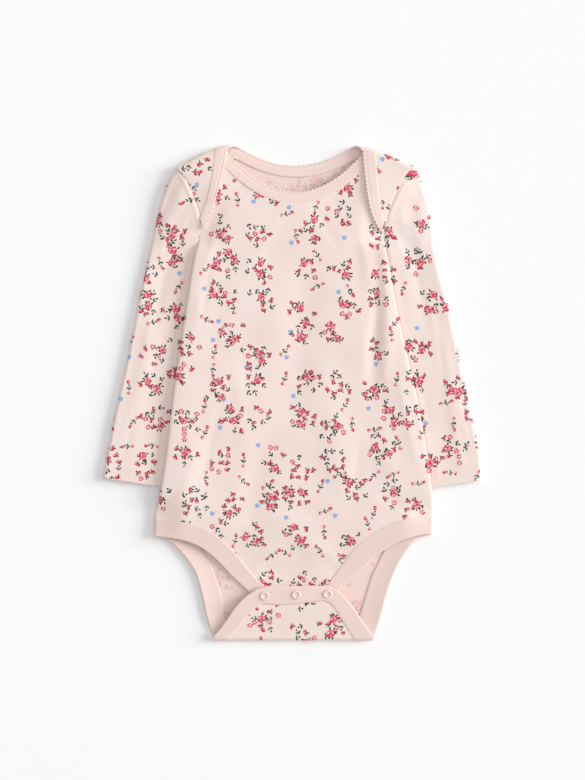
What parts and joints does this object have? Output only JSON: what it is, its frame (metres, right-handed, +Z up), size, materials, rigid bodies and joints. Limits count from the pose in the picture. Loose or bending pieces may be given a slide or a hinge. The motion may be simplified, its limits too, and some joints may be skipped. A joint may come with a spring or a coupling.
{
  "type": "baby onesie",
  "caption": "Long-sleeved baby bodysuit laid flat with its front up: lap shoulders, bound neck and leg openings, plain sleeve hems and a snap crotch flap that folds up over the front.",
  "frame": {"origin": "on the surface that the garment lies on, under the middle of its outline", "axes": "+Y towards the neck, +Z up from the surface, +X to the viewer's right with the front facing up"},
  "size_m": [0.31, 0.4062, 0.0097],
  "materials": {
    "printed_jersey": "matte cotton interlock, pale pink with a small rose print",
    "rib_binding": "matte cotton rib, plain pale pink",
    "snap": "pale pink enamel"
  },
  "bodies": {
    "root": {"front_panel": "printed_jersey", "back_panel": "printed_jersey", "sleeve_left": "printed_jersey", "sleeve_right": "printed_jersey", "neck_binding_front": "rib_binding", "neck_binding_back": "rib_binding", "leg_binding_left": "rib_binding", "leg_binding_right": "rib_binding", "crotch_tape_front": "rib_binding", "crotch_tape_flap": "rib_binding", "snap_socket_1": "snap", "snap_socket_2": "snap", "snap_socket_3": "snap", "snap_stud_1": "snap", "snap_stud_2": "snap", "snap_stud_3": "snap", "snap_cap_1": "snap", "snap_cap_2": "snap", "snap_cap_3": "snap"}
  },
  "joints": []
}
